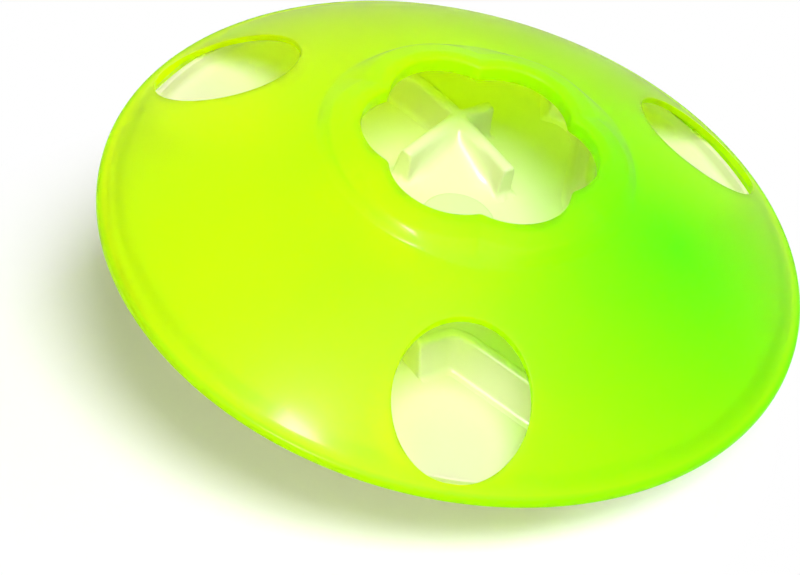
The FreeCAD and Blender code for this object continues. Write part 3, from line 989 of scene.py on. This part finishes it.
@dataclass
class Tray:
    """Cream tray: dish, three pocket baffles and three plain ones, with heights above its floor."""

    floor_height: float = 23.7
    wall: float = 1.9
    steps: int = 360
    tower: Point = (7.6, 10.4)
    tower_height: float = 9.6
    floor_round: float = 2.6
    lip_foot: float = 104.3
    lip: Point = (104.9, 106.4)
    lip_top: float = 4.0
    flange: Point = (107.6, 2.2)
    edge_round: float = 0.4
    hub: float = 49.5
    arm_heading: float = 35.0
    arm_radius: float = 70.0
    arm_turn: float = 42.0
    short_heading: float = -55.0
    short_length: float = 13.0
    inner_angle: float = 37.0
    inner_length: float = 28.0
    ramp_foot: float = 21.5
    ramp_top: float = 10.2
    ramp_blend: float = 1.2
    ramp_sunk: float = 0.2
    pocket_round: float = 5.0
    pocket_reach: Point = (-4.0, -1.5)
    pocket_cells: int = 56
    end_fade: Point = (-3.5, 4.5)
    side_fade: float = 0.55
    wall_gap: float = 0.4
    crest_below: float = 0.7
    plain_hub: float = 49.0
    plain_heading: float = 53.0
    plain_length: float = 26.5
    plain_short: float = 9.0
    plain_corner: float = 8.4
    curl: tuple[float, float] = (15.0, 95.0)
    cell: float = 0.55
    melt_passes: int = 5
    count: int = 3
    pocket_azimuth: float = 90.0
    plain_azimuth: float = 270.0
    rib: Triple = (31.1, 32.9, -9.5)
    post: tuple[float, float, float, float] = (1.52, 4.4, -8.2, -2.2)
    post_circle: float = 62.0
    steep: Baffle = Baffle(3.2, 2.0)
    sloped: Baffle = Baffle(4.6, 3.0)
    finish: MouldedPlastic = MouldedPlastic("cream_plastic", (0.80, 0.79, 0.52), (0.77, 0.76, 0.47), 0.34)

    def _dish_section(self) -> list[Point]:
        """Closed section of the dish, from the tower's inside outwards and back below.

        Returns:
            Its points.
        """
        inner, outer = self.tower
        edge, lip_in, lip_out = self.edge_round, *self.lip
        reach, flange = self.flange
        points = [(inner, -self.wall), (inner, self.tower_height)]
        points += [(outer, self.tower_height), (outer, 0.0)]
        points += [(r, 0.0) for r in even(outer + 6, self.lip_foot - self.floor_round - 1, 8)]
        points += bend((self.lip_foot - self.floor_round, self.floor_round), self.floor_round, 270, 357, 8)
        points += bend((lip_in + edge, self.lip_top - edge), edge, 180, 90, 4)
        points += bend((lip_out - edge, self.lip_top - edge), edge, 90, 0, 4)
        points += [(lip_out, flange)] + bend((reach - edge, flange - edge), edge, 90, 0, 4)
        points += bend((reach - edge, edge - self.wall), edge, 0, -90, 4)
        return points + [(r, -self.wall) for r in even(100.0, inner + 8, 6)]

    def _dish(self) -> None:
        """Make the dish, with the clamp rib and the screw posts below it."""
        mesh = Mesh()
        pilot, outside, foot, blind = self.post
        under = -self.wall / 2
        post = [(0.0, blind), (pilot, blind), (pilot, foot)]
        post += [(outside, foot), (outside, under), (0.0, under)]
        mesh.spin(post, 32, Section.OPEN)
        mesh.move((self.post_circle, 0.0, 0.0))
        mesh.turn(self.pocket_azimuth)
        mesh.repeat(self.count)
        inner, outer, low = self.rib
        mesh.spin([(inner, under), (inner, low), (outer, low), (outer, under)], 180)
        mesh.spin(self._dish_section(), self.steps)
        mesh.weld()
        mesh.move(UP * self.floor_height)
        mesh.piece("tray_dish", Body.BASE, self.finish, "tray_cream", 35.0, ["treat_tray"])

    def _pocket_height(self, x: float, y: float) -> float:
        """Height of the pocket's floor, which climbs to the hub and curves up to the arms.

        Args:
            x: Distance from the axis, along the pocket's middle.
            y: Distance to the side.

        Returns:
            The height.
        """
        angle = math.radians(self.inner_angle)
        tip = toward(self.inner_angle, self.inner_length)
        end = self.hub - tip.x
        top = self.hub - self.steep.crest_half / math.sin(angle)
        ramp = self.ramp_top * (x - self.ramp_foot) / (top - self.ramp_foot)
        ramp = (ramp + math.sqrt(ramp ** 2 + self.ramp_blend)) / 2
        between = smooth_step(x, end + self.end_fade[0], end + self.end_fade[1])
        beside = smooth_step(abs(y), self.side_fade * tip.y, tip.y)
        ramp *= 1 - beside * (1 - between)
        size = self.pocket_round
        gap = ((self.hub - x) * math.tan(angle) - abs(y)) * math.cos(angle)
        gap = min(size, max(0.0, gap - self.steep.crest_half - self.wall_gap))
        fillet = size - math.sqrt(size ** 2 - (size - gap) ** 2)
        height = ramp + fillet * between - self.ramp_sunk
        limit = self.steep.height - self.crest_below
        return (height + limit - math.hypot(limit - height, 1.0)) / 2

    def _pocket(self, mesh: Mesh) -> None:
        """Add the solid between the inner arms.

        Args:
            mesh: Where the solid goes.
        """
        angle = math.radians(self.inner_angle)
        first, last = self.ramp_foot + self.pocket_reach[0], self.hub + self.pocket_reach[1]
        cells = self.pocket_cells
        grid = bmesh.ops.create_grid(mesh.bm, x_segments=cells, y_segments=cells, size=1.0)["verts"]
        for vert in grid:
            x = first + (last - first) * (vert.co.x + 1) / 2
            y = vert.co.y * min((self.hub - x) * math.tan(angle), self.inner_length * math.sin(angle) + 1.0)
            vert.co = (x, y, self._pocket_height(x, y))
        faces = list({f for v in grid for f in v.link_faces})
        grown = bmesh.ops.extrude_face_region(mesh.bm, geom=faces)["geom"]
        for vert in (g for g in grown if isinstance(g, Vert)):
            vert.co.z = self.steep.sunk

    def _pocket_baffle(self) -> None:
        """Make the walls with a pocket: a long arm, a short one and two inner ones that hold a ramp."""
        mesh = Mesh()
        hub = Vector((self.hub, 0.0, 0.0))
        self.steep.wall(mesh, hub, self.arm_heading, [(self.arm_radius, self.arm_turn)])
        self.steep.wall(mesh, hub, self.short_heading, [(self.short_length, 0)])
        for side in (-1, 1):
            self.steep.wall(mesh, hub, side * (180 - self.inner_angle), [(self.inner_length, 0)])
        self._pocket(mesh)
        self._finish(mesh, self.pocket_azimuth, "pocket_baffles")

    def _plain_baffle(self) -> None:
        """Make the plain walls: a short arm, a rounded corner and a long arm with a curled end."""
        mesh = Mesh()
        turn = self.plain_heading - self.short_heading - 180
        tangent = self.plain_corner * math.tan(math.radians(abs(turn) / 2))
        start = Vector((self.plain_hub, 0.0, 0.0))
        start += toward(self.short_heading, tangent + self.plain_short)
        runs = [(self.plain_short, 0), (self.plain_corner, turn), (self.plain_length, 0), self.curl]
        self.sloped.wall(mesh, start, self.plain_heading - turn, runs)
        self._finish(mesh, self.plain_azimuth, "plain_baffles")

    def _finish(self, mesh: Mesh, azimuth: float, name: str) -> None:
        """Melt one baffle, repeat it round the tray and make all a piece.

        Args:
            mesh: The baffle's overlapping walls.
            azimuth: Direction of the first baffle.
            name: Name of the piece.
        """
        mesh.melt(self.cell, self.melt_passes)
        mesh.turn(azimuth)
        mesh.repeat(self.count)
        mesh.move(UP * self.floor_height)
        mesh.piece(name, Body.BASE, self.finish, "tray_cream", 70.0)

    def build(self) -> None:
        """Make the dish and its baffles."""
        self._dish()
        self._pocket_baffle()
        self._plain_baffle()


# Ballast and foot


@dataclass
class Cushion:
    """Foam ring below the steel weight, pressed on to the two ribs of the bowl that carry it."""

    ribs: tuple[float, float] = (26.0, 38.0)
    rib_half: float = 0.8
    dent: float = 0.22
    dent_fade: float = 1.6
    side_round: float = 0.55
    side_bulge: float = 0.35
    cell_height: float = 0.05
    cell_sizes: Point = (1.7, 4.1)
    steps: int = 300

    def _underside(self, radius: float) -> float:
        """Depth of the dent that the ribs press in the foam, at a distance from the axis."""
        near = min(abs(radius - rib) for rib in self.ribs)
        return self.dent * (1 - smooth_step(near, self.rib_half, self.rib_half + self.dent_fade))

    def build(self) -> None:
        """Make the ring in the space of its solid."""
        low, high = (Vector(corner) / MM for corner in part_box("ballast_cushion"))
        outer, bottom, top = high.x, low.z, high.z
        inner = sum(self.ribs) - outer
        corner, middle = self.side_round, (bottom + top) / 2
        last, first = outer - self.side_bulge - corner, inner + self.side_bulge + corner
        section = bend((last, bottom + corner), corner, -90, 0, 5) + [(outer, middle)]
        section += bend((last, top - corner), corner, 0, 90, 5)
        section += bend((first, top - corner), corner, 90, 180, 5) + [(inner, middle)]
        section += bend((first, bottom + corner), corner, 180, 270, 5)
        section += [(r, bottom + self._underside(r)) for r in even(first, last, 44)[1:-1]]
        mesh = Mesh()
        mesh.spin(section, self.steps)
        mesh.weld()
        coarse, fine = self.cell_sizes
        for vert in mesh.bm.verts:
            pore = noise.noise(vert.co * coarse) + 0.5 * noise.noise(vert.co * fine)
            vert.co -= vert.normal * self.cell_height * abs(pore)
        piece = mesh.piece("cushion_foam", Body.BASE, Foam(), "cushion_foam", 60.0, ["ballast_cushion"])


@dataclass
class FootPad:
    """Rubber disc with a ringed tread under the foot."""

    tread_depth: float = 0.45
    dimple: Point = (0.9, 1.4)
    groove_radii: tuple[float, ...] = (2.6, 4.6, 6.6, 8.6)
    groove_half: float = 0.45
    edge_round: float = 0.35
    steps: int = 144
    finish: Rubber = Rubber("pad_rubber", (0.14, 0.14, 0.14), (0.24, 0.24, 0.23))

    def build(self) -> None:
        """Make the disc in the space of its solid."""
        high = Vector(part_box("foot_pad")[1]) / MM
        radius, top, depth, half = high.x, high.z, self.tread_depth, self.groove_half
        section = [(0.0, depth), (self.dimple[0], depth), (self.dimple[1], 0.0)]
        for groove in self.groove_radii:
            corners = ((-half, 0.0), (-half / 2, depth), (half / 2, depth), (half, 0.0))
            section += [(groove + out, height) for out, height in corners]
        section += bend((radius - self.edge_round, self.edge_round), self.edge_round, -90, 0, 5)
        section += [(radius, top), (0.0, top)]
        mesh = Mesh()
        mesh.spin(section, self.steps, Section.OPEN)
        mesh.weld()
        mesh.piece("foot_tread", Body.FOOT, self.finish, "pad_rubber", 30.0, ["foot_pad"])


# Carried nodes


@dataclass
class Dressing:
    """Finishes for the nodes that keep their own shape."""

    cap: MouldedPlastic = MouldedPlastic("cap_plastic", (0.76, 0.82, 0.46), (0.72, 0.78, 0.40), 0.34)
    bowl: MouldedPlastic = MouldedPlastic(
        "bowl_plastic", (0.88, 0.89, 0.68), (0.82, 0.84, 0.60), roughness=0.42, grain_mm=0.05, scuffs=0.8)
    foot: MouldedPlastic = MouldedPlastic(
        "foot_plastic", (0.60, 0.60, 0.56), (0.52, 0.52, 0.48), roughness=0.45, grain_mm=0.05, scuffs=0.8)
    bush: MouldedPlastic = MouldedPlastic(
        "bush_plastic", (0.85, 0.85, 0.82), (0.76, 0.76, 0.72), roughness=0.40, grain_mm=0.02)
    seal: Rubber = Rubber("seal_rubber", (0.10, 0.10, 0.10), (0.18, 0.18, 0.17))
    plug: Rubber = Rubber("plug_rubber", (0.36, 0.38, 0.28), (0.46, 0.48, 0.36))
    steel: TurnedSteel = TurnedSteel("bright_steel")
    ballast: TurnedSteel = TurnedSteel("ballast_steel", (0.42, 0.41, 0.40), (0.30, 0.28, 0.26), 0.42)

    def dress(self) -> None:
        """Give each carried node its finish."""
        worn = {
            "hub_cap": self.cap, "base_bowl": self.bowl, "shell_seal": self.seal,
            "shell_screws": self.steel, "ballast_ring": self.ballast, "pivot_bush": self.bush,
            "thrust_washer": self.bush, "pivot_pin": self.steel, "pivot_clip": self.steel,
            "foot_button": self.foot,
            "screw_plug_back": self.plug, "screw_plug_left": self.plug, "screw_plug_right": self.plug,
        }
        for name, finish in worn.items():
            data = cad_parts[name].data
            data.materials.clear()
            data.materials.append(finish.material())
            LOG.info("%s wears %s", name, finish.name)


# Studio


@dataclass(frozen=True)
class Lamp:
    """Soft lamp that faces the toy, with a size in metres.

    The level is the brightness that it would give a white surface which faces it. A shine lamp is seen
    only in gloss, and the others light the toy and aren't seen in gloss.
    """

    name: str
    direction: Triple
    size: Point
    level: float
    shine: bool = False
    distance: float = 2.0

    def hang(self) -> None:
        """Put the lamp in the scene."""
        light = bpy.data.lights.new(self.name, "AREA")
        light.shape, light.size, light.size_y = "ELLIPSE", *self.size
        light.energy = self.level * math.pi ** 2 * self.distance ** 2
        lamp = shown(self.name, light)
        aim = Vector(self.direction).normalized()
        lamp.location = aim * self.distance
        lamp.rotation_euler = aim.to_track_quat("Z", "Y").to_euler()
        lamp.visible_glossy = self.shine
        lamp.visible_diffuse = not self.shine
        lamp.visible_transmission = not self.shine


@dataclass
class Studio:
    """White floor that the toy leans on, soft lamps and a bright surround.

    The bowl's radius and the height of its centre are millimetres, and the other sizes metres. An edge is the
    distance where a blend starts and the width that it takes.
    """

    floor_normal: Triple = (-0.204, 0.058, 0.9775)
    bowl_centre: float = 281.0
    bowl_radius: float = 280.0
    floor_half: float = 3.0
    shadow_centre: Point = (-0.045, -0.045)
    shadow_edge: Point = (0.09, 0.06)
    # Painted light on the floor: a lime bounce glow near the toy and a bluish lift further out.
    painted_bounce_glow: Colour = (0.12, 0.16, 0.0)
    painted_outer_lift: Colour = (0.04, 0.03, 0.08)
    glow_edge: Point = (0.08, 0.14)
    surround: float = 0.17
    lamps: tuple[Lamp, ...] = (
        Lamp("top_lamp", (0.03, -0.31, 0.95), (1.3, 1.3), 1.01),
        Lamp("front_lamp", (-0.38, -0.88, 0.28), (2.2, 0.8), 0.26),
        Lamp("shine_lamp", (-0.455, -0.505, 0.733), (0.42, 0.10), 1.75, True),
    )

    def _floor_material(self) -> Material:
        """White floor that keeps the toy's soft shadow, with a painted lime bounce glow near the toy and a
        painted bluish lift further out.

        Returns:
            The material.
        """
        make = Recipe("studio_floor")
        seen = make.seen()
        # Painted bounce light on the floor, lime near the toy and bluish further out.
        near = make.blend(make.away().above(*self.glow_edge), self.painted_bounce_glow, self.painted_outer_lift)
        shade = make.node("ShaderNodeBsdfDiffuse", {}, {"Color": (0.88, 0.88, 0.88)})
        none = make.node("ShaderNodeEmission", {}, {"Strength": 0.0})
        glow = make.node("ShaderNodeEmission", {}, {"Color": near, "Strength": 1.0})
        lift = make.node("ShaderNodeMixShader", {}, {0: seen, 1: none.outputs[0], 2: glow.outputs[0]})
        lit = make.node("ShaderNodeAddShader", {}, {0: shade.outputs[0], 1: lift.outputs[0]})
        white = make.node("ShaderNodeEmission", {}, {"Color": (1.0, 1.0, 1.0), "Strength": 1.0})
        beyond = make.away(self.shadow_centre).above(*self.shadow_edge)
        sockets = {0: seen * beyond, 1: lit.outputs[0], 2: white.outputs[0]}
        ground = make.node("ShaderNodeMixShader", {}, sockets)
        back = Signal(make, make.node("ShaderNodeNewGeometry", {}, {}).outputs["Backfacing"])
        clear = make.node("ShaderNodeBsdfTransparent", {}, {})
        sockets = {0: back * make.ray("Camera"), 1: ground.outputs[0], 2: clear.outputs[0]}
        return make.finish(make.node("ShaderNodeMixShader", {}, sockets).outputs[0])

    def floor(self) -> None:
        """Lay the floor against the side of the bowl."""
        normal = Vector(self.floor_normal).normalized()
        contact = (Vector((0, 0, self.bowl_centre)) - normal * self.bowl_radius) * MM
        data = bpy.data.meshes.new("studio_floor")
        shape = bmesh.new()
        bmesh.ops.create_grid(shape, x_segments=2, y_segments=2, size=self.floor_half)
        turn = normal.to_track_quat("Z", "Y").to_matrix().to_4x4()
        shape.transform(Matrix.Translation(contact) @ turn)
        shape.to_mesh(data)
        shape.free()
        data.materials.append(self._floor_material())
        floor = shown("studio_floor", data)

    def world(self) -> None:
        """Surround that is white to sight, gloss and clear plastic, and dimmer as a light."""
        make = Recipe("studio_world", "worlds")
        bpy.context.scene.world = make.owner
        sockets = {"Value": make.seen(), "To Min": self.surround, "To Max": 1.0}
        level = make.node("ShaderNodeMapRange", {}, sockets)
        sockets = {"Color": (1.0, 1.0, 1.0), "Strength": level.outputs[0]}
        back = make.node("ShaderNodeBackground", {}, sockets)
        make.node("ShaderNodeOutputWorld", {}, {"Surface": back.outputs[0]})

    def build(self) -> None:
        """Set up the floor, the lamps and the surround."""
        self.floor()
        self.world()
        for lamp in self.lamps:
            lamp.hang()


@dataclass
class PhotoCamera:
    """Long-lens camera at the photograph's viewing angle."""

    focal_mm: float = 225.0
    sensor_mm: float = 36.0
    tilt: float = 47.64
    roll: float = -15.95
    across: float = 15.75
    down: float = 13.05
    distance: float = 1566.9
    row_turn: float = -10.05
    rim_height: float = 23.7

    def build(self) -> None:
        """Place the camera and make it the scene's own."""
        sight = turned(self.roll) @ Matrix.Rotation(math.radians(-self.tilt), 3, "X")
        eye = sight.transposed() @ Vector((-self.across, -self.down, self.distance))
        turn = turned(self.row_turn)
        place = (turn @ sight.transposed()).to_4x4()
        place.translation = (turn @ eye + UP * self.rim_height) * MM
        data = bpy.data.cameras.new("photo_camera")
        data.sensor_width, data.lens = self.sensor_mm, self.focal_mm
        data.clip_start, data.clip_end = 0.05, 20.0
        camera = shown("photo_camera", data)
        camera.matrix_world = place
        bpy.context.scene.camera = camera


def main() -> None:
    """Build the toy's looks and the studio round it."""
    logging.basicConfig(level=logging.INFO, format="%(relativeCreated)d %(name)s: %(message)s")
    bpy.context.scene.view_settings.view_transform = "Standard"
    LOG.info("frame loaded")
    for part in (Cover(), Tray(), Cushion(), FootPad()):
        part.build()
    Dressing().dress()
    Studio().build()
    PhotoCamera().build()


if __name__ == "__main__":
    main()
